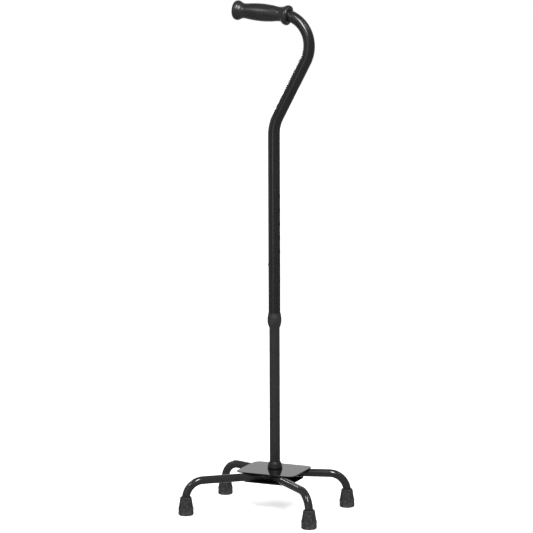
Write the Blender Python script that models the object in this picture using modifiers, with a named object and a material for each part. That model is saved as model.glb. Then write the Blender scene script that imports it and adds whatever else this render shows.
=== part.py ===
"""Quad walking cane: an offset handle tube that telescopes over a lower tube on a four-footed base.

Metres, +Z up, floor at Z = 0, origin at the centre of the footprint. The grip's free end points to -X.
The two widely splayed legs are on the -Y side and the two short ones on the +Y side.
Everything is built about the stem, which stands at Y = STEM_Y, and each object's origin is on it.
"""

from math import cos, pi, radians, sin, tan

import bmesh
import bpy
from mathutils import Matrix, Vector

# ---- driving dimensions -------------------------------------------------------------------------
GAP = 0.0003

# telescoping shaft
UPPER_R = 0.0111
UPPER_WALL = 0.0010
UPPER_END_Z = 0.345
LOWER_R = 0.0098
LOWER_WALL = 0.0012
LOWER_TOP_Z = 0.468

# height adjustment: a row of holes drilled through both walls, and the sprung button that locks in one
HOLE_PITCH = 0.0254
HOLE_COUNT = 7
HOLE_R = 0.00375
BUTTON_Z = 0.4534
HOLES_BELOW_BUTTON = 1
BUTTON_R = 0.0033

# handle, in the X-Z plane through the stem
GRIP_TILT = radians(5.3)
SLANT = radians(28.6)
SLANT_FOOT_Z = 0.71126
TOP_BEND_R = 0.0569
LOW_BEND_R = 0.070
ELBOW_X = 0.1043
TUBE_END_X = -0.074

# base
LEG_R = 0.0075
LEG_WALL = 0.0014
LEG_Z = 0.0625
LEG_BEND_R = 0.0325
FRONT_FOOT = (0.1225, -0.127)
REAR_FOOT = (0.1255, 0.048)
FRONT_SPLAY = radians(40.8)
FRONT_APEX_R = 0.036
REAR_SPLAY = radians(17.2)
REAR_INNER_Y = 0.014
REAR_INNER_R = 0.050
PLATE_SHIFT = (0.0015, -0.0077)
TOP_PLATE = (0.1184, 0.0979, 0.0018)
LOWER_PLATE = (0.096, 0.0830, 0.0020)
LOWER_SHIFT = (0.0015, -0.0109)
PLATE_CORNER_R = 0.014
BOLT_R = 0.004

# rubber feet
FOOT_BORE_FLOOR = 0.0070
WASHER_T = 0.0015
LEG_END_Z = FOOT_BORE_FLOOR + WASHER_T + 2 * GAP

TOP_PLATE_Z = LEG_Z + LEG_R + GAP
PLATE_TOP = TOP_PLATE_Z + TOP_PLATE[2]
LOWER_PLATE_Z = LEG_Z - LEG_R - GAP - LOWER_PLATE[2]
STEM_Y = -(FRONT_FOOT[1] + REAR_FOOT[1]) / 2

SHAFT_SIDES = 28
LEG_SIDES = 18
SMALL_SIDES = 20
MERGE = 0.00002


# ---- scene --------------------------------------------------------------------------------------
for old in list(bpy.data.objects):
    bpy.data.objects.remove(old, do_unlink=True)

parts = bpy.data.collections.new("quad_cane")
bpy.context.scene.collection.children.link(parts)
cutters = bpy.data.collections.new("cutters")
bpy.context.scene.collection.children.link(cutters)


def material(name, colour, roughness, metallic=0.0):
    made = bpy.data.materials.new(name)
    made.use_nodes = True
    shader = made.node_tree.nodes["Principled BSDF"]
    shader.inputs["Base Color"].default_value = (*colour, 1.0)
    shader.inputs["Roughness"].default_value = roughness
    shader.inputs["Metallic"].default_value = metallic
    made.diffuse_color = (*colour, 1.0)
    return made


def empty(name, place):
    made = bpy.data.objects.new(name, None)
    made.empty_display_size = 0.05
    made.location = place
    parts.objects.link(made)
    return made


STEM = Vector((0.0, STEM_Y, 0.0))
height_axis = empty("height_slide_axis", STEM)


def add_object(name, shape, look, place=STEM, parent=None):
    """Turn a mesh or bmesh into a named part, or into a cutter where look is None. Its origin goes to place."""
    mesh = shape
    if isinstance(shape, bmesh.types.BMesh):
        mesh = bpy.data.meshes.new(name)
        shape.to_mesh(mesh)
        shape.free()
    mesh.name = name
    mesh.shade_smooth()
    mesh.set_sharp_from_angle(angle=radians(35))
    made = bpy.data.objects.new(name, mesh)
    if look is None:
        cutters.objects.link(made)
        made.hide_render = True
        made.display_type = "WIRE"
    else:
        parts.objects.link(made)
        mesh.materials.clear()
        mesh.materials.append(look)
    made.location = place
    if parent is not None:
        made.parent = parent
        made.location = Vector(place) - parent.location
    return made


def add_turned(name, profile, look, sides=SMALL_SIDES, place=STEM, parent=None):
    """A turned piece on a vertical axis, from (height, radius) points that run up its outer side.

    A profile that starts and ends on the axis is capped there. Any other is joined end to start.
    """
    bm = bmesh.new()
    points = [bm.verts.new((radius, 0, height)) for height, radius in reversed(profile)]
    for one, two in zip(points, points[1:]):
        bm.edges.new((one, two))
    if profile[0][1] > 0:
        bm.edges.new((points[-1], points[0]))
    made = add_object(name, bm, look, place, parent)
    turn = made.modifiers.new("turn", "SCREW")
    turn.axis = "Z"
    turn.steps = sides
    turn.render_steps = sides
    turn.use_merge_vertices = True
    turn.merge_threshold = MERGE
    return made


def add_tube(name, route, outer, wall, look, sides, first=0.0, last=None, step=radians(12), parent=None):
    """A tube with square ends along a centreline: a bevelled curve made into a shell."""
    line = bpy.data.curves.new(name + "_line", "CURVE")
    line.dimensions = "3D"
    along = route.stations(first, route.length if last is None else last, step)
    spline = line.splines.new("POLY")
    spline.points.add(len(along) - 1)
    for point, s in zip(spline.points, along):
        point.co = (*route.frame(s)[0], 1.0)
    line.bevel_depth = outer
    line.bevel_resolution = (sides - 4) // 2
    guide = bpy.data.objects.new(name + "_line", line)
    parts.objects.link(guide)
    bpy.context.view_layer.update()
    graph = bpy.context.evaluated_depsgraph_get()
    mesh = bpy.data.meshes.new_from_object(guide.evaluated_get(graph))
    bpy.data.objects.remove(guide, do_unlink=True)
    made = add_object(name, mesh, look, parent=parent)
    shell = made.modifiers.new("wall", "SOLIDIFY")
    shell.thickness = wall
    shell.offset = -1.0
    return made


def add_cylinder(name, radius, low, high, look, sides=SMALL_SIDES, place=STEM, tip="Z"):
    """A solid cylinder from low to high along the X or Z axis through place."""
    bm = bmesh.new()
    bmesh.ops.create_cone(
        bm,
        cap_ends=True,
        segments=sides,
        radius1=radius,
        radius2=radius,
        depth=high - low,
        matrix=Matrix.Translation((0, 0, (low + high) / 2)),
    )
    if tip == "X":
        bmesh.ops.rotate(bm, verts=bm.verts, matrix=Matrix.Rotation(pi / 2, 3, "Y"))
    return add_object(name, bm, look, place)


def add_block(name, size, middle, look, corner=0.0, parent=None):
    """A box about middle, with its upright edges rounded if corner is given."""
    bm = bmesh.new()
    bmesh.ops.create_cube(bm, size=1.0)
    bmesh.ops.scale(bm, vec=size, verts=bm.verts)
    bmesh.ops.translate(bm, vec=middle, verts=bm.verts)
    if corner:
        upright = [edge for edge in bm.edges if abs(edge.verts[0].co.z - edge.verts[1].co.z) > size[2] / 2]
        bmesh.ops.bevel(bm, geom=upright, offset=corner, segments=6, profile=0.5, affect="EDGES")
    return add_object(name, bm, look, parent=parent)


def cut(part, cutter):
    """Take one solid out of another."""
    boolean = part.modifiers.new("cut_" + cutter.name, "BOOLEAN")
    boolean.operation = "DIFFERENCE"
    boolean.solver = "EXACT"
    boolean.object = cutter


def soften(part, width, segments=2):
    bevel = part.modifiers.new("edge", "BEVEL")
    bevel.width = width
    bevel.segments = segments
    bevel.limit_method = "ANGLE"
    bevel.angle_limit = radians(40)


# ---- centrelines --------------------------------------------------------------------------------
class Route:
    """A centreline of straight runs joined by round bends, from corner points and their bend radii."""

    def __init__(self, corners):
        points = [Vector(point) for point, _ in corners]
        radii = [radius for _, radius in corners]
        heading = (points[1] - points[0]).normalized()
        across = heading.orthogonal().normalized()
        if abs(heading.y) < 1e-9:
            across = Vector((0.0, 1.0, 0.0))
        self.pieces = []
        self.bends = []
        along = 0.0
        start = points[0]
        for i in range(1, len(points)):
            last = i == len(points) - 1
            reach = 0.0
            turn = 0.0
            if not last:
                leaving = (points[i + 1] - points[i]).normalized()
                turn = heading.angle(leaving)
                reach = radii[i] * tan(turn / 2)
            end = points[i] - heading * reach
            length = (end - start).length
            self.pieces.append((along, length, start, heading, across, None, 0.0))
            along += length
            if not last:
                axis = heading.cross(leaving).normalized()
                middle = end + axis.cross(heading) * radii[i]
                bow = radii[i] * turn
                self.pieces.append((along, bow, end, heading, across, (axis, middle), radii[i]))
                self.bends.append((along, along + bow, turn))
                along += bow
                spin = Matrix.Rotation(turn, 3, axis)
                start = middle + spin @ (end - middle)
                heading = leaving
                across = spin @ across
        self.length = along

    def frame(self, s):
        """The point at distance s along the centreline, and two directions square to it."""
        piece = self.pieces[0]
        for other in self.pieces:
            if other[0] <= s + 1e-12:
                piece = other
        begun, _, start, heading, across, arc, radius = piece
        if arc is None:
            point = start + heading * (s - begun)
        else:
            spin = Matrix.Rotation((s - begun) / radius, 3, arc[0])
            point = arc[1] + spin @ (start - arc[1])
            heading = spin @ heading
            across = spin @ across
        return point, across, heading.cross(across)

    def stations(self, first, last, step):
        """Distances from first to last, with extra ones around each bend, step apart in angle."""
        found = [first]
        for begin, end, turn in self.bends:
            count = max(2, round(turn / step))
            for k in range(count + 1):
                s = begin + (end - begin) * k / count
                if first + 1e-6 < s < last - 1e-6:
                    found.append(s)
        return found + [last]


def lofted_round(profile, sides, route):
    """A closed round body about a bent centreline, from (distance along, radius) points."""
    bm = bmesh.new()
    rings = []
    for s, radius in profile:
        centre, across, over = route.frame(s)
        if radius == 0:
            rings.append([bm.verts.new(centre)])
            continue
        ring = []
        for i in range(sides):
            angle = 2 * pi * i / sides
            ring.append(bm.verts.new(centre + radius * (cos(angle) * across + sin(angle) * over)))
        rings.append(ring)
    for one, two in zip(rings, rings[1:]):
        for i in range(sides):
            j = (i + 1) % sides
            if len(one) == 1:
                bm.faces.new((one[0], two[i], two[j]))
            elif len(two) == 1:
                bm.faces.new((one[i], one[j], two[0]))
            else:
                bm.faces.new((one[i], one[j], two[j], two[i]))
    bmesh.ops.recalc_face_normals(bm, faces=bm.faces)
    return bm


# ---- materials ----------------------------------------------------------------------------------
powder_black = material("powder_black", (0.016, 0.016, 0.017), 0.32)
plate_black = material("plate_black", (0.012, 0.012, 0.013), 0.10)
grip_vinyl = material("grip_vinyl", (0.018, 0.018, 0.019), 0.38)
collar_plastic = material("collar_plastic", (0.036, 0.037, 0.039), 0.5)
inner_plastic = material("inner_plastic", (0.05, 0.05, 0.052), 0.55)
foot_rubber = material("foot_rubber", (0.045, 0.046, 0.048), 0.8)
spring_steel = material("spring_steel", (0.42, 0.43, 0.45), 0.3, 1.0)
button_steel = material("button_steel", (0.55, 0.56, 0.58), 0.25, 1.0)
zinc_steel = material("zinc_steel", (0.50, 0.51, 0.53), 0.38, 1.0)


# ---- upper handle assembly ----------------------------------------------------------------------
# The slanted run meets the stem at SLANT_FOOT_Z and the grip line at the elbow corner.
elbow_z = SLANT_FOOT_Z + ELBOW_X / tan(SLANT)
free_z = elbow_z + (ELBOW_X - TUBE_END_X) * tan(GRIP_TILT)
handle = Route(
    [
        ((TUBE_END_X, 0, free_z), 0),
        ((ELBOW_X, 0, elbow_z), TOP_BEND_R),
        ((0, 0, SLANT_FOOT_Z), LOW_BEND_R),
        ((0, 0, UPPER_END_Z), 0),
    ]
)

handle_tube = add_tube(
    "handle_tube", handle, UPPER_R, UPPER_WALL, powder_black, SHAFT_SIDES, step=radians(9), parent=height_axis
)
low_hole_z = BUTTON_Z - HOLES_BELOW_BUTTON * HOLE_PITCH
for n in range(HOLE_COUNT):
    level = STEM + Vector((0, 0, low_hole_z + n * HOLE_PITCH))
    drill = add_cylinder(f"height_hole_drill_{n + 1}", HOLE_R, -0.02, 0.02, None, 16, level, "X")
    cut(handle_tube, drill)

# Vinyl grip: a closed knob at the free end, a palm swell, a finger neck and a flange by the bend.
bore_r = UPPER_R + GAP
grip_profile = [
    (-0.0052, 0.0),
    (-0.0052, 0.0070),
    (-0.0046, 0.0115),
    (-0.0034, 0.0147),
    (-0.0016, 0.0168),
    (0.0009, 0.0178),
    (0.0036, 0.0180),
    (0.0064, 0.0172),
    (0.0090, 0.0158),
    (0.0112, 0.0148),
    (0.0142, 0.0139),
    (0.0185, 0.0137),
    (0.0245, 0.0144),
    (0.0325, 0.0152),
    (0.0405, 0.0158),
    (0.0485, 0.01605),
    (0.0565, 0.0160),
    (0.0645, 0.0155),
    (0.0720, 0.0149),
    (0.0785, 0.0139),
    (0.0840, 0.01315),
    (0.0885, 0.01325),
    (0.0925, 0.0142),
    (0.0955, 0.0158),
    (0.0977, 0.0173),
    (0.1000, 0.01805),
    (0.1025, 0.0182),
    (0.1045, 0.0178),
    (0.1058, 0.0169),
    (0.1064, 0.0156),
    (0.1064, bore_r),
    (0.1000, bore_r),
    (0.0940, bore_r),
    (-0.0026, bore_r),
    (-0.0026, 0.0),
]
# Its last 14 mm follow the bend, so it is lofted along the centreline.
add_object("hand_grip", lofted_round(grip_profile, SHAFT_SIDES, handle), grip_vinyl, parent=height_axis)

plug_r = UPPER_R - UPPER_WALL - GAP
plug_profile = [
    (-0.0023, 0.0),
    (-0.0023, UPPER_R - 0.0008),
    (-0.0017, UPPER_R),
    (-GAP, UPPER_R),
    (-GAP, plug_r),
    (0.0108, plug_r),
    (0.0120, plug_r - 0.0008),
    (0.0120, 0.0072),
    (0.0010, 0.0072),
    (0.0010, 0.0),
]
free_end = STEM + Vector((TUBE_END_X, 0, free_z))
plug = add_turned("handle_end_plug", plug_profile, inner_plastic, place=free_end, parent=height_axis)
plug.rotation_euler.y = pi / 2 + GRIP_TILT

# Split collet round the mouth of the handle tube. Its fingers close on the lower tube.
collet_profile = [
    (0.3425, LOWER_R + 0.00035),
    (0.3425, 0.0106),
    (0.3455, 0.01175),
    (0.3575, 0.01185),
    (0.3575, UPPER_R + GAP),
    (UPPER_END_Z - GAP, UPPER_R + GAP),
    (UPPER_END_Z - GAP, LOWER_R + 0.00035),
]
collet = add_turned("split_collet", collet_profile, inner_plastic, SHAFT_SIDES, parent=height_axis)
for n in range(2):
    slot = add_block(f"collet_slot_cutter_{n + 1}", (0.04, 0.001, 0.017), (0, 0, 0.3435), None)
    slot.rotation_euler.z = radians(45 + 90 * n)
    cut(collet, slot)

collar_profile = [
    (0.3380, LOWER_R + 0.0004),
    (0.3380, 0.0107),
    (0.3392, 0.0110),
    (0.3407, 0.01135),
    (0.3425, 0.0119),
    (0.3444, 0.0125),
    (0.3462, 0.0129),
    (0.3482, 0.0131),
    (0.3520, 0.01315),
    (0.3556, 0.0131),
    (0.3576, 0.0128),
    (0.3595, 0.0123),
    (0.3632, 0.0118),
    (0.3640, 0.0116),
    (0.3640, UPPER_R + GAP),
    (0.3580, UPPER_R + GAP),
    (0.3580, 0.01215),
    (0.3452, 0.01215),
    (0.3417, 0.0108),
    (0.3417, LOWER_R + 0.0004),
]
add_turned("locking_collar", collar_profile, collar_plastic, SHAFT_SIDES, parent=height_axis)

# ---- lower tube and snap button -----------------------------------------------------------------
UPRIGHT = Route([((0, 0, 0), 0), ((0, 0, 1), 0)])
lower_tube = add_tube(
    "lower_tube", UPRIGHT, LOWER_R, LOWER_WALL, powder_black, SHAFT_SIDES, PLATE_TOP + GAP, LOWER_TOP_Z
)
button_place = STEM + Vector((0, 0, BUTTON_Z))
cut(lower_tube, add_cylinder("button_hole_drill", BUTTON_R + 0.0004, -0.02, 0, None, 16, button_place, "X"))

cap_r = LOWER_R - LOWER_WALL - GAP
cap_profile = [
    (LOWER_TOP_Z - 0.007, 0.0030),
    (LOWER_TOP_Z - 0.007, cap_r),
    (LOWER_TOP_Z + GAP, cap_r),
    (LOWER_TOP_Z + GAP, LOWER_R),
    (LOWER_TOP_Z + 0.0019, LOWER_R),
    (LOWER_TOP_Z + 0.0026, LOWER_R - 0.0008),
    (LOWER_TOP_Z + 0.0026, 0.0030),
]
add_turned("glide_cap", cap_profile, inner_plastic)

# The button is turned on its own axis and laid over to face -X. Its flange is held inside the lower tube.
button_profile = [
    (0.0060, 0.0),
    (0.0060, 0.0043),
    (0.0068, 0.0043),
    (0.0068, BUTTON_R),
    (0.0113, BUTTON_R),
    (0.0121, 0.0028),
    (0.0126, 0.0016),
    (0.0127, 0.0),
]
button = add_turned("snap_button", button_profile, button_steel, 16, button_place)
button.rotation_euler.y = -pi / 2

# V-shaped leaf spring: one arm behind the button, one along the far wall, folded at the bottom.
leaf_t = 0.0005
leaf_half = 0.0030
spine = [(-0.0055, 0.006), (-0.0055, -0.006), (0.0022, -0.0395)]
for k in range(1, 7):
    angle = pi + 0.22 + (pi - 0.22) * k / 6
    spine.append((0.00425 + 0.0021 * cos(angle), -0.0400 + 0.0021 * sin(angle)))
spine.append((0.00655, 0.006))
strip = bmesh.new()
edges = [[strip.verts.new((x, y, z)) for y in (-leaf_half, leaf_half)] for x, z in spine]
for one, two in zip(edges, edges[1:]):
    strip.faces.new((one[0], two[0], two[1], one[1]))
leaf = add_object("button_leaf_spring", strip, spring_steel, place=button_place)
thickness = leaf.modifiers.new("thickness", "SOLIDIFY")
thickness.thickness = leaf_t
thickness.offset = 0.0

# ---- stem foot ----------------------------------------------------------------------------------
flare_z = PLATE_TOP + GAP
flare_profile = [
    (flare_z, LOWER_R + GAP),
    (flare_z, 0.0134),
    (flare_z + 0.0010, 0.01385),
    (flare_z + 0.0025, 0.0138),
    (flare_z + 0.0045, 0.0132),
    (flare_z + 0.0070, 0.0127),
    (flare_z + 0.0090, 0.0121),
    (flare_z + 0.0105, 0.0114),
    (flare_z + 0.0118, 0.0108),
    (flare_z + 0.0125, 0.0105),
    (flare_z + 0.0125, LOWER_R + GAP),
]
add_turned("base_collar", flare_profile, collar_plastic, SHAFT_SIDES)

socket_r = LOWER_R - LOWER_WALL - GAP
socket_profile = [
    (PLATE_TOP + GAP, BOLT_R + GAP),
    (PLATE_TOP + GAP, socket_r),
    (PLATE_TOP + 0.0370, socket_r),
    (PLATE_TOP + 0.0380, socket_r - 0.0010),
    (PLATE_TOP + 0.0380, BOLT_R + GAP),
]
add_turned("stem_socket", socket_profile, zinc_steel)

# ---- plates -------------------------------------------------------------------------------------
bolt_drill = add_cylinder("bolt_hole_drill", BOLT_R + 0.0004, 0.03, 0.09, None)
low_plate_top = LOWER_PLATE_Z + LOWER_PLATE[2]
for name, size, shift, low, edge in (
    ("top_plate", TOP_PLATE, PLATE_SHIFT, TOP_PLATE_Z, 0.0007),
    ("lower_plate", LOWER_PLATE, LOWER_SHIFT, LOWER_PLATE_Z, 0.0006),
):
    plate = add_block(name, size, (*shift, low + size[2] / 2), plate_black, PLATE_CORNER_R)
    soften(plate, edge)
    cut(plate, bolt_drill)

# ---- leg bows -----------------------------------------------------------------------------------
front_x, front_y = FRONT_FOOT
apex_y = front_y + front_x * tan(FRONT_SPLAY)
front_route = Route(
    [
        ((-front_x, front_y, LEG_END_Z), 0),
        ((-front_x, front_y, LEG_Z), LEG_BEND_R),
        ((0, apex_y, LEG_Z), FRONT_APEX_R),
        ((front_x, front_y, LEG_Z), LEG_BEND_R),
        ((front_x, front_y, LEG_END_Z), 0),
    ]
)
add_tube("front_leg_bow", front_route, LEG_R, LEG_WALL, powder_black, LEG_SIDES)

rear_x, rear_y = REAR_FOOT
inner_x = rear_x - (rear_y - REAR_INNER_Y) / tan(REAR_SPLAY)
rear_route = Route(
    [
        ((-rear_x, rear_y, LEG_END_Z), 0),
        ((-rear_x, rear_y, LEG_Z), LEG_BEND_R),
        ((-inner_x, REAR_INNER_Y, LEG_Z), REAR_INNER_R),
        ((inner_x, REAR_INNER_Y, LEG_Z), REAR_INNER_R),
        ((rear_x, rear_y, LEG_Z), LEG_BEND_R),
        ((rear_x, rear_y, LEG_END_Z), 0),
    ]
)
add_tube("rear_leg_bow", rear_route, LEG_R, LEG_WALL, powder_black, LEG_SIDES)

# ---- centre bolt --------------------------------------------------------------------------------
spacer_profile = [
    (low_plate_top + GAP, BOLT_R + 0.0004),
    (low_plate_top + GAP, 0.0060),
    (TOP_PLATE_Z - GAP, 0.0060),
    (TOP_PLATE_Z - GAP, BOLT_R + 0.0004),
]
add_turned("spacer_sleeve", spacer_profile, zinc_steel)

washer_top = LOWER_PLATE_Z - GAP
washer_profile = [
    (washer_top - 0.0016, BOLT_R + 0.0004),
    (washer_top - 0.0016, 0.0085),
    (washer_top, 0.0085),
    (washer_top, BOLT_R + 0.0004),
]
add_turned("bolt_washer", washer_profile, zinc_steel)

# Spring washer: a square-section ring, split, with its ends a little out of line.
split_top = washer_top - 0.0016 - GAP
split = bmesh.new()
split_steps = 22
opening = radians(7)
sections = []
for k in range(split_steps + 1):
    angle = opening / 2 + (2 * pi - opening) * k / split_steps
    lift = 0.0003 * (k / split_steps - 1)
    section = []
    for radius, z in ((0.0044, -0.0018), (0.0066, -0.0018), (0.0066, 0.0), (0.0044, 0.0)):
        section.append(split.verts.new((radius * cos(angle), radius * sin(angle), split_top + z + lift)))
    sections.append(section)
for one, two in zip(sections, sections[1:]):
    for i in range(4):
        j = (i + 1) % 4
        split.faces.new((one[i], one[j], two[j], two[i]))
split.faces.new(sections[0])
split.faces.new(sections[-1])
bmesh.ops.recalc_face_normals(split, faces=split.faces)
add_object("spring_washer", split, zinc_steel)

head_top = split_top - 0.0018 - 0.0003 - GAP
head_h = 0.0053
bolt = add_cylinder("centre_bolt", 0.00751, head_top - head_h, head_top, zinc_steel, 6)
soften(bolt, 0.0006, 1)
shank_profile = [
    (head_top - 0.0020, 0.0),
    (head_top - 0.0020, BOLT_R),
    (PLATE_TOP + 0.0270, BOLT_R),
    (PLATE_TOP + 0.0280, BOLT_R - 0.0009),
    (PLATE_TOP + 0.0280, 0.0),
]
shank = add_turned("bolt_shank_form", shank_profile, None)
join = bolt.modifiers.new("shank", "BOOLEAN")
join.operation = "UNION"
join.solver = "EXACT"
join.object = shank

# ---- feet ---------------------------------------------------------------------------------------
leg_bore = LEG_R + GAP
foot_profile = [
    (0.0, 0.0),
    (0.0, 0.0050),
    (0.0008, 0.0056),
    (0.0008, 0.0074),
    (0.0, 0.0080),
    (0.0, 0.0126),
    (0.0012, 0.0138),
    (0.0036, 0.0142),
    (0.0072, 0.0139),
    (0.0092, 0.0139),
    (0.0112, 0.0142),
    (0.0130, 0.0141),
    (0.0150, 0.0134),
    (0.0320, 0.0107),
    (0.0333, 0.0102),
    (0.0337, 0.0096),
    (0.0337, leg_bore + 0.0006),
    (0.0280, leg_bore),
    (FOOT_BORE_FLOOR, leg_bore),
    (FOOT_BORE_FLOOR, 0.0),
]
washer_low = FOOT_BORE_FLOOR + GAP
disc_profile = [
    (washer_low, 0.0),
    (washer_low, LEG_R - 0.0003),
    (washer_low + WASHER_T - GAP, LEG_R - 0.0003),
    (washer_low + WASHER_T - GAP, 0.0),
]
feet = (
    ("front_left", -front_x, front_y),
    ("front_right", front_x, front_y),
    ("rear_left", -rear_x, rear_y),
    ("rear_right", rear_x, rear_y),
)
for label, x, y in feet:
    stand = STEM + Vector((x, y, 0))
    add_turned(f"rubber_foot_{label}", foot_profile, foot_rubber, place=stand)
    add_turned(f"foot_disc_{label}", disc_profile, zinc_steel, place=stand)
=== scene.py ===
"""Looks for the quad walking cane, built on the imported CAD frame. Metres, +Z up."""

from math import atan2, cos, pi, radians, sin, tan

import bmesh
import bpy
from mathutils import Matrix, Vector


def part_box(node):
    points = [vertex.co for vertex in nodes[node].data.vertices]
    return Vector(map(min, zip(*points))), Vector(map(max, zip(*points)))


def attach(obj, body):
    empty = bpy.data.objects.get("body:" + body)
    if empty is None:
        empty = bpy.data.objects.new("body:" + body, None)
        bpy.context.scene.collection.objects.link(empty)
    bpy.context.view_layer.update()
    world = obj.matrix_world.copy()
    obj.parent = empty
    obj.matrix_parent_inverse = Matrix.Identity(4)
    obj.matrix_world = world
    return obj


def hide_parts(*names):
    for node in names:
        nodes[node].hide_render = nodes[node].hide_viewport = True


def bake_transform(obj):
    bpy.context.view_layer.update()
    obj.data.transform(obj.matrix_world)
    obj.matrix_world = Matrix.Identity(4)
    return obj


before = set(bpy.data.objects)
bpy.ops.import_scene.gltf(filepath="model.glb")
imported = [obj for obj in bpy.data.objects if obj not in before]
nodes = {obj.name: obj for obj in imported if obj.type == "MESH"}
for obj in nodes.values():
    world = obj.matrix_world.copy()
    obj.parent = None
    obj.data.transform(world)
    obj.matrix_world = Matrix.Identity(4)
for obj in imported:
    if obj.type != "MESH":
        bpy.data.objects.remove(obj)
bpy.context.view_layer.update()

# ---- dimensions shared with the CAD -------------------------------------------------------------
GAP = 0.0003
UPPER_R = 0.0111
UPPER_WALL = 0.0010
UPPER_END_Z = 0.345
LOWER_R = 0.0098
LOWER_WALL = 0.0012
LOWER_TOP_Z = 0.468
HOLE_PITCH = 0.0254
HOLE_COUNT = 7
HOLE_R = 0.00375
BUTTON_Z = 0.4534
BUTTON_R = 0.0033
GRIP_TILT = radians(5.3)
SLANT = radians(28.6)
SLANT_FOOT_Z = 0.71126
TOP_BEND_R = 0.0569
LOW_BEND_R = 0.070
ELBOW_X = 0.1043
TUBE_END_X = -0.074
LEG_R = 0.0075
LEG_WALL = 0.0014
LEG_Z = 0.0625
LEG_BEND_R = 0.0325
FRONT_FOOT = (0.1225, -0.127)
REAR_FOOT = (0.1255, 0.048)
FRONT_SPLAY = radians(40.8)
FRONT_APEX_R = 0.036
REAR_SPLAY = radians(17.2)
REAR_INNER_Y = 0.014
REAR_INNER_R = 0.050
PLATE_SHIFT = (0.0015, -0.0077)
TOP_PLATE = (0.1184, 0.0979, 0.0018)
LOWER_PLATE = (0.096, 0.0830, 0.0020)
LOWER_SHIFT = (0.0015, -0.0109)
PLATE_CORNER_R = 0.014
BOLT_R = 0.004
FOOT_BORE_FLOOR = 0.0070
LEG_END_Z = FOOT_BORE_FLOOR + 0.0015 + 2 * GAP

TOP_PLATE_Z = LEG_Z + LEG_R + GAP
PLATE_TOP = TOP_PLATE_Z + TOP_PLATE[2]
LOWER_PLATE_Z = LEG_Z - LEG_R - GAP - LOWER_PLATE[2]

stem_low, stem_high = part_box("lower_tube")
STEM = Vector(((stem_low.x + stem_high.x) / 2, (stem_low.y + stem_high.y) / 2, 0.0))

SHAFT_SIDES = 72
LEG_SIDES = 48
DRILL_SIDES = 32
DRILL_REACH = 0.02
DRILL_ROOM = 0.0004
SHARP_ANGLE = radians(32)
FLOOR_Z = -0.0001
FLOOR_R = 30.0
FLOOR_SIDES = 96
VIEW_BEARING = radians(23.956)


# ---- geometry helpers ---------------------------------------------------------------------------
class Route:
    """A centreline of straight runs joined by round bends, from corner points and their bend radii."""

    def __init__(self, corners):
        points = [Vector(point) for point, _ in corners]
        radii = [radius for _, radius in corners]
        heading = (points[1] - points[0]).normalized()
        across = heading.orthogonal().normalized()
        if abs(heading.y) < 1e-9:
            across = Vector((0.0, 1.0, 0.0))
        self.pieces = []
        self.bends = []
        along = 0.0
        start = points[0]
        for i in range(1, len(points)):
            last = i == len(points) - 1
            reach = 0.0
            turn = 0.0
            if not last:
                leaving = (points[i + 1] - points[i]).normalized()
                turn = heading.angle(leaving)
                reach = radii[i] * tan(turn / 2)
            end = points[i] - heading * reach
            length = (end - start).length
            self.pieces.append((along, length, start, heading, across, None, 0.0))
            along += length
            if not last:
                axis = heading.cross(leaving).normalized()
                middle = end + axis.cross(heading) * radii[i]
                bow = radii[i] * turn
                self.pieces.append((along, bow, end, heading, across, (axis, middle), radii[i]))
                self.bends.append((along, along + bow, turn))
                along += bow
                spin = Matrix.Rotation(turn, 3, axis)
                start = middle + spin @ (end - middle)
                heading = leaving
                across = spin @ across
        self.length = along

    def frame(self, s):
        """The point at distance s along the centreline, and two directions square to it."""
        piece = self.pieces[0]
        for other in self.pieces:
            if other[0] <= s + 1e-12:
                piece = other
        begun, _, start, heading, across, arc, radius = piece
        if arc is None:
            point = start + heading * (s - begun)
        else:
            spin = Matrix.Rotation((s - begun) / radius, 3, arc[0])
            point = arc[1] + spin @ (start - arc[1])
            heading = spin @ heading
            across = spin @ across
        return point, across, heading.cross(across)

    def stations(self, first, last, step):
        """Distances from first to last, with extra ones around each bend, step apart in angle."""
        found = [first]
        for begin, end, turn in self.bends:
            count = max(2, round(turn / step))
            for k in range(count + 1):
                s = begin + (end - begin) * k / count
                if first + 1e-6 < s < last - 1e-6:
                    found.append(s)
        return found + [last]


UPRIGHT = Route([((0, 0, 0), 0), ((0, 0, 1), 0)])


def turned(profile, sides, route, shape=None):
    """A body of revolution about a centreline, from (distance along, radius) points.

    A profile that starts on the centreline is a solid; any other is a closed loop, and makes a hollow ring.
    shape(s, angle, radius), if given, returns the radius at that angle round the centreline.
    """
    bm = bmesh.new()
    rings = []
    for s, radius in profile:
        centre, across, over = route.frame(s)
        if radius == 0:
            rings.append([bm.verts.new(centre)])
            continue
        ring = []
        for i in range(sides):
            angle = 2 * pi * i / sides
            r = shape(s, angle, radius) if shape else radius
            ring.append(bm.verts.new(centre + r * (cos(angle) * across + sin(angle) * over)))
        rings.append(ring)
    pairs = list(zip(rings, rings[1:]))
    if profile[0][1] > 0:
        pairs.append((rings[-1], rings[0]))
    for one, two in pairs:
        for i in range(sides):
            j = (i + 1) % sides
            if len(one) == 1:
                bm.faces.new((one[0], two[i], two[j]))
            elif len(two) == 1:
                bm.faces.new((one[i], one[j], two[0]))
            else:
                bm.faces.new((one[i], one[j], two[j], two[i]))
    return bm


def catmull_rom(a, b, c, d, t):
    return 0.5 * (2 * b + (c - a) * t + (2 * a - 5 * b + 4 * c - d) * t * t + (3 * b - a - 3 * c + d) * t**3)


def eased(points, steps=4):
    """The same profile with smooth curves between its points."""
    fine = []
    count = len(points)
    for i in range(count - 1):
        p0 = points[max(i - 1, 0)]
        p1 = points[i]
        p2 = points[i + 1]
        p3 = points[min(i + 2, count - 1)]
        for k in range(steps):
            fine.append(tuple(catmull_rom(*values, k / steps) for values in zip(p0, p1, p2, p3)))
    fine.append(points[-1])
    return fine


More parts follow.
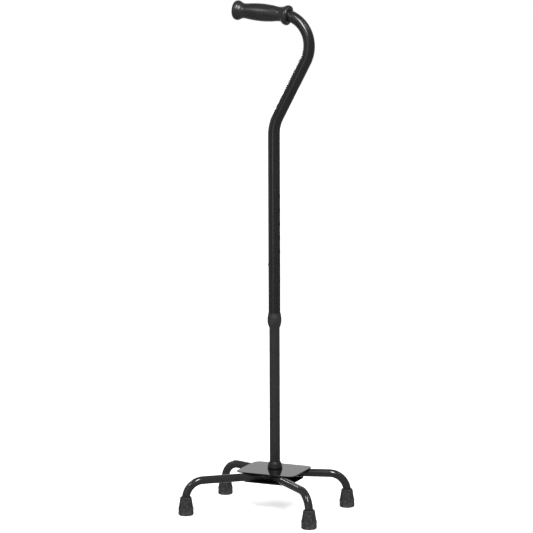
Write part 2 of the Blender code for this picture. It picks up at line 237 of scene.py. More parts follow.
def pipe(route, first, last, outer, wall, sides, step=radians(4), extra=(), shape=None):
    """A tube along a centreline with lightly rounded ends."""
    along = route.stations(first, last, step)
    along = sorted(set(along + [s for s in extra if first < s < last]))
    lip = 0.0003
    profile = [(first, outer - lip), (first + lip, outer)]
    profile += [(s, outer) for s in along if first + lip < s < last - lip]
    profile += [(last - lip, outer), (last, outer - lip)]
    profile += [(last, outer - wall)]
    profile += [(s, outer - wall) for s in reversed(along) if first + lip < s < last - lip]
    profile += [(first, outer - wall)]
    return turned(profile, sides, route, shape)


def prism(outline, low, high):
    """An upright solid with the given outline, from one height to another."""
    bm = bmesh.new()
    bottom = [bm.verts.new((x, y, low)) for x, y in outline]
    top = [bm.verts.new((x, y, high)) for x, y in outline]
    bm.faces.new(bottom)
    bm.faces.new(top)
    count = len(outline)
    for i in range(count):
        j = (i + 1) % count
        bm.faces.new((bottom[i], bottom[j], top[j], top[i]))
    return bm


def rounded_rectangle(width, depth, radius, shift, steps=16):
    """The outline of a plate about the stem, its centre moved by the shift."""
    outline = []
    corners = ((1, 1, 0.0), (-1, 1, 0.5 * pi), (-1, -1, pi), (1, -1, 1.5 * pi))
    for side_x, side_y, begin in corners:
        for k in range(steps + 1):
            angle = begin + 0.5 * pi * k / steps
            x = side_x * (width / 2 - radius) + radius * cos(angle)
            y = side_y * (depth / 2 - radius) + radius * sin(angle)
            outline.append((x + shift[0], y + shift[1]))
    return outline


def drill(start, end, radius):
    """A round bar to cut a hole with."""
    route = Route([(start, 0), (end, 0)])
    length = route.length
    return turned([(0, 0), (0, radius), (length, radius), (length, 0)], DRILL_SIDES, route)


def strip_along(route, spots, half_width, half_depth, edge):
    """A flat strip along a centreline, its four long edges chamfered."""
    section = []
    for side_u, side_v in ((1, 1), (-1, 1), (-1, -1), (1, -1)):
        near_side = (side_u * half_width, side_v * (half_depth - edge))
        near_face = (side_u * (half_width - edge), side_v * half_depth)
        section += [near_side, near_face] if side_u == side_v else [near_face, near_side]
    bm = bmesh.new()
    rings = []
    for s in spots:
        centre, across, over = route.frame(s)
        rings.append([bm.verts.new(centre + u * across + v * over) for u, v in section])
    bm.faces.new(rings[0])
    bm.faces.new(rings[-1])
    for one, two in zip(rings, rings[1:]):
        for i in range(8):
            j = (i + 1) % 8
            bm.faces.new((one[i], one[j], two[j], two[i]))
    return bm


def made_object(name, bm, look, place=STEM, cuts=(), bevel=0.0):
    """A finished mesh object with its cuts applied and smooth shading broken at its edges.

    A bevelled piece also keeps its level faces flat shaded.
    """
    bmesh.ops.recalc_face_normals(bm, faces=bm.faces)
    mesh = bpy.data.meshes.new(name)
    bm.to_mesh(mesh)
    bm.free()
    obj = bpy.data.objects.new(name, mesh)
    bpy.context.scene.collection.objects.link(obj)
    drills = []
    for k, cutter in enumerate(cuts):
        bmesh.ops.recalc_face_normals(cutter, faces=cutter.faces)
        tool_mesh = bpy.data.meshes.new("tool")
        cutter.to_mesh(tool_mesh)
        cutter.free()
        tool = bpy.data.objects.new("tool", tool_mesh)
        bpy.context.scene.collection.objects.link(tool)
        drills.append(tool)
        boolean = obj.modifiers.new(f"cut{k}", "BOOLEAN")
        boolean.operation = "DIFFERENCE"
        boolean.solver = "EXACT"
        boolean.object = tool
    if bevel:
        edge = obj.modifiers.new("edge", "BEVEL")
        edge.width = bevel
        edge.segments = 4
        edge.limit_method = "ANGLE"
        edge.angle_limit = radians(40)
    if cuts or bevel:
        bpy.context.view_layer.update()
        graph = bpy.context.evaluated_depsgraph_get()
        solid = bpy.data.meshes.new_from_object(obj.evaluated_get(graph))
        obj.modifiers.clear()
        obj.data = solid
        solid.name = name
        for tool in drills:
            bpy.data.objects.remove(tool, do_unlink=True)
    obj.data.shade_smooth()
    obj.data.set_sharp_from_angle(angle=SHARP_ANGLE)
    if bevel:
        for face in obj.data.polygons:
            face.use_smooth = abs(face.normal.z) < 0.9999
    obj.data.materials.clear()
    obj.data.materials.append(look)
    obj.location = place
    return obj


# ---- materials ----------------------------------------------------------------------------------
class Look:
    """A small wrapper for building a node material."""

    def __init__(self, name):
        self.material = bpy.data.materials.new(name)
        self.material.use_nodes = True
        self.tree = self.material.node_tree
        self.shader = self.tree.nodes["Principled BSDF"]
        coords = self.tree.nodes.new("ShaderNodeTexCoord")
        self.place = coords.outputs["Object"]

    def put(self, value, name):
        """Sets one of the shader's inputs, or links a node's output to it."""
        socket = self.shader.inputs[name]
        if isinstance(value, (int, float, tuple)):
            socket.default_value = value
        else:
            self.tree.links.new(value, socket)

    def scaled(self, scale):
        node = self.tree.nodes.new("ShaderNodeMapping")
        node.inputs["Scale"].default_value = scale
        self.tree.links.new(self.place, node.inputs["Vector"])
        return node.outputs["Vector"]

    def noise(self, scale, detail=3.0, rough=0.55, source=None):
        node = self.tree.nodes.new("ShaderNodeTexNoise")
        node.inputs["Scale"].default_value = scale
        node.inputs["Detail"].default_value = detail
        node.inputs["Roughness"].default_value = rough
        self.tree.links.new(source or self.place, node.inputs["Vector"])
        return node.outputs["Fac"]

    def cells(self, scale):
        node = self.tree.nodes.new("ShaderNodeTexVoronoi")
        node.inputs["Scale"].default_value = scale
        self.tree.links.new(self.place, node.inputs["Vector"])
        return node.outputs["Distance"]

    def remap(self, value, low, high, from_low=0.3, from_high=0.7):
        """Stretches from_low..from_high to low..high; the defaults are about the range of a noise."""
        node = self.tree.nodes.new("ShaderNodeMapRange")
        node.inputs["From Min"].default_value = from_low
        node.inputs["From Max"].default_value = from_high
        node.inputs["To Min"].default_value = low
        node.inputs["To Max"].default_value = high
        self.tree.links.new(value, node.inputs["Value"])
        return node.outputs["Result"]

    def maths(self, operation, a, b):
        node = self.tree.nodes.new("ShaderNodeMath")
        node.operation = operation
        self.tree.links.new(a, node.inputs[0])
        self.tree.links.new(b, node.inputs[1])
        return node.outputs[0]

    def mix(self, fac, a, b):
        node = self.tree.nodes.new("ShaderNodeMix")
        node.data_type = "RGBA"
        for name, value in (("Factor", fac), ("A", a), ("B", b)):
            socket = [s for s in node.inputs if s.name == name and s.enabled][0]
            if isinstance(value, tuple):
                socket.default_value = (*value, 1.0)
            else:
                self.tree.links.new(value, socket)
        return [s for s in node.outputs if s.enabled][0]

    def bump(self, height, strength, distance, under=None):
        node = self.tree.nodes.new("ShaderNodeBump")
        node.inputs["Strength"].default_value = strength
        node.inputs["Distance"].default_value = distance
        self.tree.links.new(height, node.inputs["Height"])
        if under is not None:
            self.tree.links.new(under, node.inputs["Normal"])
        return node.outputs["Normal"]

    def height(self):
        node = self.tree.nodes.new("ShaderNodeSeparateXYZ")
        self.tree.links.new(self.place, node.inputs[0])
        return node.outputs["Z"]


def powder_coat(name, dark, light, rough_low, rough_high, gloss=0.5):
    """Powder coat: fine orange peel, small changes of tone and gloss, and a trace of handling marks."""
    look = Look(name)
    cloud = look.noise(38, 4)
    fleck = look.noise(1700, 2)
    tone = look.mix(look.remap(fleck, 0.0, 1.0, 0.35, 0.75), dark, light)
    tone = look.mix(look.remap(cloud, 0.0, 0.5), tone, light)
    look.put(tone, "Base Color")
    rub = look.noise(9, 5, 0.65, look.scaled((1.0, 1.0, 0.25)))
    fine = look.remap(look.noise(420, 2), -0.03, 0.03)
    look.put(look.maths("ADD", look.remap(rub, rough_low, rough_high), fine), "Roughness")
    peel = look.bump(look.noise(900, 2), 0.25, 0.00004)
    look.put(look.bump(look.noise(2600, 1), 0.12, 0.00002, peel), "Normal")
    look.put(gloss, "Specular IOR Level")
    return look.material


def gloss_enamel(name):
    """Gloss enamel on a pressed plate, with a faint ripple and a few dull specks of dust."""
    look = Look(name)
    look.put(look.mix(look.noise(30, 3), (0.0045, 0.0045, 0.005), (0.008, 0.008, 0.0085)), "Base Color")
    speck = look.remap(look.noise(1300, 2), 0.0, 0.16, 0.62, 0.75)
    haze = look.remap(look.noise(22, 5, 0.6), 0.05, 0.11)
    look.put(look.maths("ADD", haze, speck), "Roughness")
    look.put(0.27, "Specular IOR Level")
    look.put(look.bump(look.noise(260, 2), 0.06, 0.00004), "Normal")
    return look.material


def soft_vinyl(name):
    """Moulded vinyl: semi-gloss skin with fine streaks drawn along the grip."""
    look = Look(name)
    along = look.scaled((14, 420, 420))
    streak = look.noise(1.0, 4, 0.6, along)
    cloud = look.noise(45, 4)
    blend = look.maths("MULTIPLY", look.remap(cloud, 0.3, 1.0), look.remap(streak, 0.2, 1.0))
    tone = look.mix(blend, (0.007, 0.007, 0.008), (0.0180, 0.0180, 0.0190))
    look.put(tone, "Base Color")
    fine = look.remap(look.noise(600, 2), -0.02, 0.02)
    look.put(look.maths("ADD", look.remap(streak, 0.27, 0.39), fine), "Roughness")
    drawn = look.bump(streak, 0.3, 0.00005)
    look.put(look.bump(look.noise(1100, 2), 0.08, 0.00002, drawn), "Normal")
    return look.material


def moulded_plastic(name, dark, light, rough, gloss=0.5):
    """Spark-textured moulded plastic."""
    look = Look(name)
    look.put(gloss, "Specular IOR Level")
    look.put(look.mix(look.remap(look.noise(70, 4), 0.0, 1.0), dark, light), "Base Color")
    look.put(look.remap(look.noise(300, 3), rough - 0.06, rough + 0.06), "Roughness")
    grain = look.bump(look.cells(1500), 0.22, 0.00005)
    look.put(look.bump(look.noise(700, 3), 0.15, 0.00004, grain), "Normal")
    return look.material


def tread_rubber(name):
    """Matte carbon-black rubber with paler flecks, and floor dust low down."""
    look = Look(name)
    cloud = look.noise(260, 4, 0.65)
    fleck = look.noise(1100, 3)
    patches = look.remap(cloud, 0.0, 1.0, 0.40, 0.62)
    tone = look.mix(patches, (0.0045, 0.005, 0.006), (0.033, 0.0335, 0.035))
    tone = look.mix(look.remap(fleck, 0.0, 0.35, 0.55, 0.75), tone, (0.066, 0.066, 0.065))
    low = look.remap(look.height(), 1.0, 0.0, 0.0, 0.014)
    dust = look.maths("MULTIPLY", low, look.remap(look.noise(140, 5, 0.7), 0.0, 0.45))
    look.put(look.mix(dust, tone, (0.115, 0.113, 0.108)), "Base Color")
    look.put(look.remap(cloud, 0.62, 0.82), "Roughness")
    grain = look.bump(look.noise(900, 4, 0.7), 0.4, 0.00008)
    look.put(look.bump(look.noise(180, 3), 0.2, 0.00012, grain), "Normal")
    look.put(0.35, "Specular IOR Level")
    return look.material


def plated_steel(name, tint, rough):
    """Zinc or bright steel with drawn scratches and patchy passivation."""
    look = Look(name)
    patch = look.noise(120, 4, 0.6)
    look.put(look.mix(look.remap(patch, 0.0, 1.0), tint, tuple(c * 0.78 for c in tint)), "Base Color")
    look.put(1.0, "Metallic")
    drawn = look.noise(1.0, 3, 0.6, look.scaled((2400, 2400, 160)))
    dull = look.remap(patch, rough, rough + 0.1)
    look.put(look.maths("ADD", look.remap(drawn, -0.05, 0.07), dull), "Roughness")
    look.put(look.bump(drawn, 0.12, 0.00003), "Normal")
    return look.material


# name, darkest and lightest tone, lowest and highest roughness, gloss
tube_coat = powder_coat("tube_powder_coat", (0.004, 0.004, 0.0045), (0.009, 0.009, 0.0095), 0.21, 0.29, 0.65)
lower_coat = powder_coat("lower_tube_powder_coat", (0.011, 0.011, 0.0115), (0.019, 0.019, 0.0195), 0.27, 0.37)
leg_coat = powder_coat("leg_powder_coat", (0.010, 0.010, 0.0105), (0.019, 0.019, 0.0195), 0.12, 0.19)
plate_enamel = gloss_enamel("plate_enamel")
vinyl = soft_vinyl("grip_vinyl")
# name, darkest and lightest tone, roughness, gloss
collar_black = moulded_plastic(
    "collar_moulding", (0.0120, 0.0125, 0.0135), (0.0180, 0.0185, 0.0195), 0.46
)
# The base collar uses a darker copy of the screw collar's plastic: its darker tone is painted shade.
flare_black_painted_shade = moulded_plastic(
    "base_collar_moulding_painted_shade", (0.0085, 0.009, 0.0095), (0.0140, 0.0145, 0.015), 0.44, 0.3
)
hidden_black = moulded_plastic("inner_moulding", (0.035, 0.035, 0.036), (0.05, 0.05, 0.052), 0.55)
rubber = tread_rubber("foot_rubber")
# name, tint, roughness
zinc = plated_steel("zinc_plate", (0.56, 0.57, 0.59), 0.3)
bright = plated_steel("spring_steel", (0.50, 0.51, 0.53), 0.22)
button_metal = plated_steel("button_steel", (0.60, 0.61, 0.63), 0.18)


def stands_for(obj, body, slot, *cad):
    """Puts a piece on its body, in place of the named CAD nodes."""
    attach(obj, body)
    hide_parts(*cad)
    return obj


# ---- handle -------------------------------------------------------------------------------------
elbow_z = SLANT_FOOT_Z + ELBOW_X / tan(SLANT)
free_z = elbow_z + (ELBOW_X - TUBE_END_X) * tan(GRIP_TILT)
handle = Route(
    [
        ((TUBE_END_X, 0, free_z), 0),
        ((ELBOW_X, 0, elbow_z), TOP_BEND_R),
        ((0, 0, SLANT_FOOT_Z), LOW_BEND_R),
        ((0, 0, UPPER_END_Z), 0),
    ]
)


BEND_SQUEEZE = (0.10, 0.03)
INNER_SHARE = 0.15
WIDENING = 0.4


def flattened(s, angle, radius):
    """Bending squeezes the tube in the plane of each bend, most on its inner side, and widens it across."""
    squeeze = 0.0
    for (begin, end, _), most in zip(handle.bends, BEND_SQUEEZE):
        if begin < s < end:
            squeeze = most * sin(pi * (s - begin) / (end - begin))
    in_plane = sin(angle) ** 2 * (1 - INNER_SHARE * sin(angle))
    return radius * (1 + squeeze * (WIDENING * cos(angle) ** 2 - in_plane))


# The height holes, and rings of vertices on each side of them that keep the wall between them even.
holes = []
rows = []
for n in range(HOLE_COUNT):
    z = BUTTON_Z + (n - 1) * HOLE_PITCH
    holes.append(drill((-DRILL_REACH, 0, z), (DRILL_REACH, 0, z), HOLE_R))
    for dz in (-0.0075, -0.0045, 0.0045, 0.0075):
        rows.append(handle.length - (z + dz - UPPER_END_Z))
tube = made_object(
    "handle_tube_coated",
    pipe(handle, 0, handle.length, UPPER_R, UPPER_WALL, SHAFT_SIDES, radians(3), rows, flattened),
    tube_coat,
    cuts=holes,
)
stands_for(tube, "handle", "powder_coated_tube", "handle_tube")

bore_r = UPPER_R + GAP
grip_outer = [
    (-0.0052, 0.0),
    (-0.00518, 0.0040),
    (-0.0050, 0.0080),
    (-0.0045, 0.0117),
    (-0.0034, 0.0147),
    (-0.0016, 0.0168),
    (0.0009, 0.0178),
    (0.0036, 0.0180),
    (0.0064, 0.0172),
    (0.0090, 0.0158),
    (0.0112, 0.0148),
    (0.0142, 0.0139),
    (0.0185, 0.0137),
    (0.0245, 0.0144),
    (0.0325, 0.0152),
    (0.0405, 0.0158),
    (0.0485, 0.01605),
    (0.0565, 0.0160),
    (0.0645, 0.0155),
    (0.0720, 0.0149),
    (0.0785, 0.0139),
    (0.0840, 0.01315),
    (0.0885, 0.01325),
    (0.0925, 0.0142),
    (0.0955, 0.0158),
    (0.0977, 0.0173),
    (0.1000, 0.01805),
    (0.1025, 0.0182),
    (0.1045, 0.0178),
    (0.1058, 0.0169),
    (0.1064, 0.0156),
]
grip_profile = eased(grip_outer, 4)
grip_profile[0] = (grip_outer[0][0], 0.0)
grip_profile += [(0.1065, 0.0140), (0.1064, bore_r + 0.0008), (0.1060, bore_r + 0.0003), (0.0900, bore_r)]
grip_profile += [(-0.0026, bore_r), (-0.0026, 0.0)]

MOULD_LINE_HEIGHT = 0.00012
MOULD_LINE_HALF_ANGLE = 0.045


def with_mould_lines(s, angle, radius):
    """The mould's parting line stands a hair proud along both sides of the grip, outside its bore."""
    if radius <= bore_r + 0.0006:
        return radius
    ridge = 0.0
    for side in (0.0, pi):
        off = atan2(sin(angle - side), cos(angle - side))
        ridge += MOULD_LINE_HEIGHT * max(0.0, 1.0 - abs(off) / MOULD_LINE_HALF_ANGLE)
    return radius + ridge


# The flange end is moulded straight, so it leans less than the bend that it is pushed on to.
flange_start = handle.frame(0.0935)[0]
grip_line = Route(
    [
        ((TUBE_END_X, 0, free_z), 0),
        (flange_start, 0.03),
        (flange_start + (handle.frame(0.1036)[0] - flange_start) * 2, 0),
    ]
)
grip = made_object("vinyl_grip", turned(grip_profile, 140, grip_line, with_mould_lines), vinyl)
stands_for(grip, "handle", "grip_vinyl", "hand_grip")

collar_outer = [
    (0.3380, 0.0104),
    (0.3382, 0.0107),
    (0.3392, 0.0110),
    (0.3407, 0.01135),
    (0.3425, 0.0119),
    (0.3444, 0.0125),
    (0.3462, 0.0129),
    (0.3482, 0.0131),
    (0.3520, 0.01315),
    (0.3556, 0.0131),
    (0.3576, 0.0128),
    (0.3595, 0.0123),
    (0.3615, 0.0120),
    (0.3632, 0.0118),
    (0.3638, 0.0117),
    (0.3640, 0.01155),
]
collar_profile = [(0.3380, LOWER_R + 0.0004)] + eased(collar_outer, 4)
collar_profile += [(0.3640, bore_r), (0.3580, bore_r), (0.3580, 0.01215), (0.3452, 0.01215)]
collar_profile += [(0.3417, 0.0108), (0.3417, LOWER_R + 0.0004)]
collar = made_object("screw_collar", turned(collar_profile, 96, UPRIGHT), collar_black)
stands_for(collar, "collar", "collar_plastic", "locking_collar")

# ---- lower tube and button ----------------------------------------------------------------------
lower = made_object(
    "lower_tube_coated",
    pipe(UPRIGHT, PLATE_TOP + GAP, LOWER_TOP_Z, LOWER_R, LOWER_WALL, SHAFT_SIDES, extra=(0.445, 0.462)),
    lower_coat,
    cuts=[drill((-DRILL_REACH, 0, BUTTON_Z), (0, 0, BUTTON_Z), BUTTON_R + DRILL_ROOM)],
)
stands_for(lower, "base", "powder_coated_tube", "lower_tube")

button_place = STEM + Vector((0, 0, BUTTON_Z))
button_route = Route([((0, 0, 0), 0), ((-1, 0, 0), 0)])
DOME_START = 0.0108
DOME_HEIGHT = 0.0019
DOME_STEPS = 8
button_profile = [(0.0060, 0.0), (0.0060, 0.0041), (0.0062, 0.0043), (0.0066, 0.0043), (0.0068, 0.0041)]
button_profile += [(0.0068, BUTTON_R), (DOME_START, BUTTON_R)]
for k in range(1, DOME_STEPS):
    turn = pi / 2 * k / DOME_STEPS
    button_profile.append((DOME_START + DOME_HEIGHT * sin(turn), BUTTON_R * cos(turn)))
button_profile.append((DOME_START + DOME_HEIGHT, 0.0))
button = made_object(
    "lock_button",
    turned(button_profile, 48, button_route),
    button_metal,
    place=button_place,
)
stands_for(button, "button", "button_steel", "snap_button")

# The V-shaped leaf behind the button, made as one strip in place of the CAD spring.
LEAF_HALF_WIDTH = 0.0030
LEAF_HALF_THICKNESS = 0.00025
LEAF_EDGE = 0.00008
leaf_route = Route(
    [
        ((-0.0055, 0, 0.006), 0),
        ((-0.0055, 0, -0.006), 0.006),
        ((0.0028, 0, -0.0421), 0.0019),
        ((0.00633, 0, -0.0421), 0.0019),
        ((0.00655, 0, 0.006), 0),
    ]
)
LEAF_STEPS = 60
leaf_spots = leaf_route.stations(0, leaf_route.length, radians(8))
leaf_spots = sorted(set(leaf_spots + [leaf_route.length * k / LEAF_STEPS for k in range(1, LEAF_STEPS)]))
leaf = made_object(
    "button_leaf",
    strip_along(leaf_route, leaf_spots, LEAF_HALF_WIDTH, LEAF_HALF_THICKNESS, LEAF_EDGE),
    bright,
    place=button_place,
)
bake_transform(leaf)
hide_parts("button_leaf_spring")

# ---- base ---------------------------------------------------------------------------------------
flare_z = PLATE_TOP + GAP
flare_outer = [
    (flare_z, 0.0132),
    (flare_z + 0.0003, 0.0136),
    (flare_z + 0.0010, 0.01385),
    (flare_z + 0.0025, 0.0138),
    (flare_z + 0.0045, 0.0132),
    (flare_z + 0.0070, 0.0127),
    (flare_z + 0.0090, 0.0121),
    (flare_z + 0.0105, 0.0114),
    (flare_z + 0.0118, 0.0107),
    (flare_z + 0.0125, 0.0103),
]
flare_profile = [(flare_z, LOWER_R + GAP)] + eased(flare_outer, 4) + [(flare_z + 0.0125, LOWER_R + GAP)]
flare = made_object("flared_collar", turned(flare_profile, 96, UPRIGHT), flare_black_painted_shade)
stands_for(flare, "base", "collar_plastic", "base_collar")

for name, size, shift, low, edge in (
    ("top_plate", TOP_PLATE, PLATE_SHIFT, TOP_PLATE_Z, 0.0009),
    ("lower_plate", LOWER_PLATE, LOWER_SHIFT, LOWER_PLATE_Z, 0.0006),
):
    width, depth, thickness = size
    plate = made_object(
        f"enamelled_{name}",
        prism(rounded_rectangle(width, depth, PLATE_CORNER_R, shift), low, low + thickness),
        plate_enamel,
        cuts=[drill((0, 0, low - DRILL_REACH), (0, 0, low + DRILL_REACH), BOLT_R + DRILL_ROOM)],
        bevel=edge,
    )
    stands_for(plate, "base", "gloss_plate", name)

front_x, front_y = FRONT_FOOT
apex_y = front_y + front_x * tan(FRONT_SPLAY)
front_route = Route(
    [
        ((-front_x, front_y, LEG_END_Z), 0),
        ((-front_x, front_y, LEG_Z), LEG_BEND_R),
        ((0, apex_y, LEG_Z), FRONT_APEX_R),
        ((front_x, front_y, LEG_Z), LEG_BEND_R),
        ((front_x, front_y, LEG_END_Z), 0),
    ]
)
front_bow = made_object(
    "front_legs_coated",
    pipe(front_route, 0, front_route.length, LEG_R, LEG_WALL, LEG_SIDES),
    leg_coat,
)
stands_for(front_bow, "base", "powder_coated_leg", "front_leg_bow")

rear_x, rear_y = REAR_FOOT
inner_x = rear_x - (rear_y - REAR_INNER_Y) / tan(REAR_SPLAY)
rear_route = Route(
    [
        ((-rear_x, rear_y, LEG_END_Z), 0),
        ((-rear_x, rear_y, LEG_Z), LEG_BEND_R),
        ((-inner_x, REAR_INNER_Y, LEG_Z), REAR_INNER_R),
        ((inner_x, REAR_INNER_Y, LEG_Z), REAR_INNER_R),
        ((rear_x, rear_y, LEG_Z), LEG_BEND_R),
        ((rear_x, rear_y, LEG_END_Z), 0),
    ]
)
rear_bow = made_object(
    "rear_legs_coated",
    pipe(rear_route, 0, rear_route.length, LEG_R, LEG_WALL, LEG_SIDES),
    leg_coat,
)
stands_for(rear_bow, "base", "powder_coated_leg", "rear_leg_bow")

# ---- centre bolt, seen from below ---------------------------------------------------------------
HEAD_HEIGHT = 0.0053
HEAD_R = 0.00751
PLAIN_SHANK = 0.004
THREAD_PITCH = 0.00125
THREAD_DEPTH = 0.0006
WASHER_R = 0.0085
WASHER_FACE_R = 0.0083
WASHER_EDGE = 0.0003

bolt_low, bolt_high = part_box("centre_bolt")
head_top = bolt_low.z + HEAD_HEIGHT
hexagon = [(HEAD_R * cos(pi / 3 * k), HEAD_R * sin(pi / 3 * k)) for k in range(6)]
head = made_object("hexagon_bolt", prism(hexagon, bolt_low.z, head_top), zinc, bevel=0.0007)
shank_profile = [(head_top - 0.0001, 0.0), (head_top - 0.0001, BOLT_R)]
turns = int((bolt_high.z - 0.001 - head_top - PLAIN_SHANK) / THREAD_PITCH)
for k in range(turns):
    z = head_top + PLAIN_SHANK + k * THREAD_PITCH
    shank_profile += [(z, BOLT_R), (z + THREAD_DEPTH, BOLT_R - THREAD_DEPTH)]
shank_profile += [(bolt_high.z - 0.0008, BOLT_R - 0.0001), (bolt_high.z, BOLT_R - 0.0009), (bolt_high.z, 0.0)]
shank = made_object("bolt_shank", turned(shank_profile, 40, UPRIGHT), zinc)
stands_for(head, "base", "zinc_steel", "centre_bolt")
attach(shank, "base")

washer_low, washer_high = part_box("bolt_washer")
washer_profile = [
    (washer_low.z, BOLT_R + DRILL_ROOM),
    (washer_low.z, WASHER_FACE_R),
    (washer_low.z + WASHER_EDGE, WASHER_R),
    (washer_high.z - WASHER_EDGE, WASHER_R),
    (washer_high.z, WASHER_FACE_R),
    (washer_high.z, BOLT_R + DRILL_ROOM),
]
washer = made_object("flat_washer", turned(washer_profile, 64, UPRIGHT), zinc)
stands_for(washer, "base", "zinc_steel", "bolt_washer")

# ---- rubber feet --------------------------------------------------------------------------------
leg_bore = LEG_R + GAP
foot_outer = [
    (0.0, 0.0120),
    (0.0003, 0.0128),
    (0.0012, 0.0137),
    (0.0024, 0.01413),
    (0.0034, 0.0142),
    (0.0037, 0.0138),
    (0.0042, 0.0138),
    (0.0045, 0.0142),
    (0.0060, 0.01405),
    (0.0078, 0.0139),
    (0.0081, 0.0135),
    (0.0087, 0.0135),
    (0.0090, 0.01395),
    (0.0108, 0.01418),
    (0.0122, 0.0142),
    (0.0134, 0.01402),
    (0.0146, 0.01355),
    (0.0160, 0.0132),
    (0.0320, 0.0107),
    (0.0331, 0.0103),
    (0.0337, 0.0096),
]
foot_profile = [(0.0, 0.0), (0.0, 0.0048), (0.0002, 0.0050), (0.0008, 0.0053), (0.0008, 0.0077)]
foot_profile += [(0.0002, 0.0080), (0.0, 0.0082)]
foot_profile += foot_outer[:-3]
for k in range(1, 12):
    t = k / 12
    foot_profile.append((0.0160 + 0.0160 * t, 0.0132 - 0.0025 * t))
foot_profile += foot_outer[-3:]
foot_profile += [(0.0338, 0.0090), (0.0337, leg_bore + 0.0006), (0.0280, leg_bore)]
foot_profile += [(FOOT_BORE_FLOOR, leg_bore), (FOOT_BORE_FLOOR, 0.0)]

FLUTES = 20
FLUTE_DEPTH = 0.00045
FLUTE_LOW = 0.0165
FLUTE_HIGH = 0.0300


def fluted(s, angle, radius):
    """Upright grooves round the tapered part of the foot, fading out towards both ends."""
    if radius < leg_bore + 0.001 or not FLUTE_LOW < s < FLUTE_HIGH:
        return radius
    fade = sin(pi * (s - FLUTE_LOW) / (FLUTE_HIGH - FLUTE_LOW)) ** 0.5
    return radius - FLUTE_DEPTH * fade * (0.5 - 0.5 * cos(FLUTES * angle)) ** 2


feet = (
    ("front_left", -front_x, front_y),
    ("front_right", front_x, front_y),
    ("rear_left", -rear_x, rear_y),
    ("rear_right", rear_x, rear_y),
)
for label, x, y in feet:
    foot = made_object(
        f"rubber_tip_{label}",
        turned(foot_profile, 160, UPRIGHT, fluted),
        rubber,
        place=STEM + Vector((x, y, 0)),
    )
    stands_for(foot, "base", "foot_rubber", f"rubber_foot_{label}")

# ---- CAD pieces kept as they are, most of them inside -------------------------------------------
for name, look in (
    ("handle_end_plug", hidden_black),
    ("split_collet", hidden_black),
    ("glide_cap", hidden_black),
    ("spring_washer", bright),
    ("stem_socket", zinc),
    ("spacer_sleeve", zinc),
    ("foot_disc_front_left", zinc),
    ("foot_disc_front_right", zinc),
    ("foot_disc_rear_left", zinc),
    ("foot_disc_rear_right", zinc),
):
    nodes[name].data.materials.clear()
    nodes[name].data.materials.append(look)

# ---- floor, light and camera --------------------------------------------------------------------
floor_mesh = bpy.data.meshes.new("studio_floor")
floor_bm = bmesh.new()
centre = floor_bm.verts.new((0, 0, FLOOR_Z))
rim = []
for k in range(FLOOR_SIDES):
    angle = 2 * pi * k / FLOOR_SIDES
    rim.append(floor_bm.verts.new((FLOOR_R * cos(angle), FLOOR_R * sin(angle), FLOOR_Z)))
for k in range(FLOOR_SIDES):
    floor_bm.faces.new((centre, rim[k], rim[(k + 1) % FLOOR_SIDES]))
floor_bm.to_mesh(floor_mesh)
floor_bm.free()
floor = bpy.data.objects.new("studio_floor", floor_mesh)
bpy.context.scene.collection.objects.link(floor)
floor.visible_glossy = False
paper = Look("studio_paper")
paper.put((0.9, 0.9, 0.9, 1.0), "Base Color")
paper.put(paper.remap(paper.noise(3, 3), 0.8, 0.9), "Roughness")
paper.put(0.0, "Specular IOR Level")
paper.put((1.0, 1.0, 1.0, 1.0), "Emission Color")
paper.put(0.4, "Emission Strength")
floor_mesh.materials.append(paper.material)

# The room is white where it is seen directly. As a light it is dim, apart from the wall behind the cane.
world = bpy.data.worlds.new("studio")
bpy.context.scene.world = world
world.use_nodes = True
tree = world.node_tree
output = tree.nodes["World Output"]
room = tree.nodes["Background"]
white = tree.nodes.new("ShaderNodeBackground")
white.inputs["Color"].default_value = (1.0, 1.0, 1.0, 1.0)
white.inputs["Strength"].default_value = 1.0
coords = tree.nodes.new("ShaderNodeTexCoord")
facing = tree.nodes.new("ShaderNodeVectorMath")
facing.operation = "DOT_PRODUCT"
facing.inputs[1].default_value = (-sin(VIEW_BEARING), cos(VIEW_BEARING), 0.0)
tree.links.new(coords.outputs["Generated"], facing.inputs[0])
wall = tree.nodes.new("ShaderNodeValToRGB")
wall.color_ramp.interpolation = "EASE"
stops = wall.color_ramp.elements
stops[0].position = 0.74
stops[0].color = (0.2, 0.2, 0.2, 1.0)
stops[1].position = 0.86
stops[1].color = (1.0, 1.0, 1.0, 1.0)
tree.links.new(facing.outputs["Value"], wall.inputs["Fac"])
tree.links.new(wall.outputs["Color"], room.inputs["Color"])
room.inputs["Strength"].default_value = 1.0
path = tree.nodes.new("ShaderNodeLightPath")
choose = tree.nodes.new("ShaderNodeMixShader")
tree.links.new(path.outputs["Is Camera Ray"], choose.inputs["Fac"])
tree.links.new(room.outputs["Background"], choose.inputs[1])
tree.links.new(white.outputs["Background"], choose.inputs[2])
tree.links.new(choose.outputs["Shader"], output.inputs["Surface"])


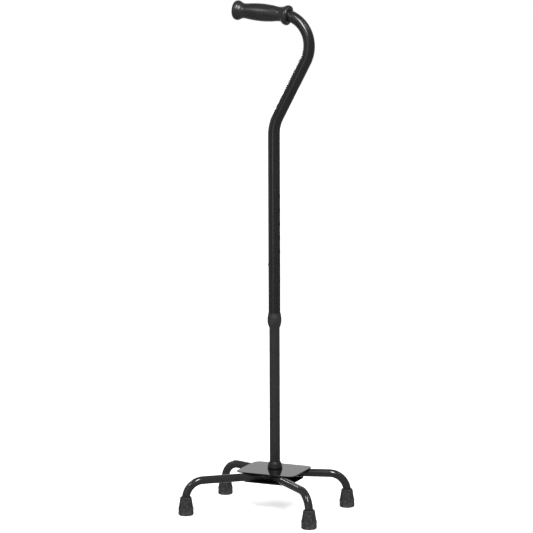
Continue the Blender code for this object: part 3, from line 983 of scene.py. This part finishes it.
# Soft lamps: name, bearing round from -Y towards +X in degrees, distance, height, point aimed at, size, power.
for name, bearing, reach, height, target, size, power in (
    ("key", 28, 1.9, 2.44, (0, 0, 0.9), (0.50, 1.3), 60),
    ("side", 98, 1.9, 2.9, (0.1, 0, 0.9), (0.4, 0.9), 7),
    ("left", -26, 2.4, 2.3, (0, 0, 0.9), (0.5, 0.5), 16),
    ("rim_left", -120, 3.0, 1.45, (0, 0, 0.06), (0.16, 0.5), 9),
    ("strip", -2, 3.2, 0.75, (0, 0, 0.5), (0.5, 1.3), 4.5),
    ("fill_left", -75, 2.6, 1.0, (0, 0, 0.5), (1.0, 1.6), 1.5),
):
    turn = radians(bearing)
    light = bpy.data.lights.new(name, "AREA")
    light.shape = "RECTANGLE"
    light.size, light.size_y = size
    light.energy = power
    lamp = bpy.data.objects.new(name, light)
    lamp.location = STEM + Vector((reach * sin(turn), -reach * cos(turn), height))
    lamp.rotation_euler = (Vector(target) - lamp.location).to_track_quat("-Z", "Y").to_euler()
    bpy.context.scene.collection.objects.link(lamp)

sun = bpy.data.lights.new("overhead", "SUN")
sun.energy = 2.2
sun.angle = radians(100)
sunlight = bpy.data.objects.new("overhead", sun)
sunlight.location = (0, 0, 4)
sunlight.visible_glossy = False
bpy.context.scene.collection.objects.link(sunlight)

CAMERA_DISTANCE = 3.4359
CAMERA_HEIGHT = 0.8679
CAMERA_LENS = 126.94
eye = STEM + Vector((CAMERA_DISTANCE * sin(VIEW_BEARING), -CAMERA_DISTANCE * cos(VIEW_BEARING), CAMERA_HEIGHT))
yaw = VIEW_BEARING + 0.0042
pitch = 0.1209
roll = -0.0036
ahead = Vector((-sin(yaw) * cos(pitch), cos(yaw) * cos(pitch), -sin(pitch)))
right = ahead.cross(Vector((0, 0, 1))).normalized()
up = right.cross(ahead)
tilted_right = cos(roll) * right + sin(roll) * up
tilted_up = cos(roll) * up - sin(roll) * right
camera_data = bpy.data.cameras.new("camera")
camera = bpy.data.objects.new("camera", camera_data)
bpy.context.scene.collection.objects.link(camera)
camera_data.sensor_width = 36.0
camera_data.lens = CAMERA_LENS
camera_data.clip_end = 50.0
camera.matrix_world = Matrix(
    (
        (tilted_right.x, tilted_up.x, -ahead.x, eye.x),
        (tilted_right.y, tilted_up.y, -ahead.y, eye.y),
        (tilted_right.z, tilted_up.z, -ahead.z, eye.z),
        (0, 0, 0, 1),
    )
)
bpy.context.scene.camera = camera
bpy.context.scene.view_settings.view_transform = "Standard"

bpy.context.view_layer.update()
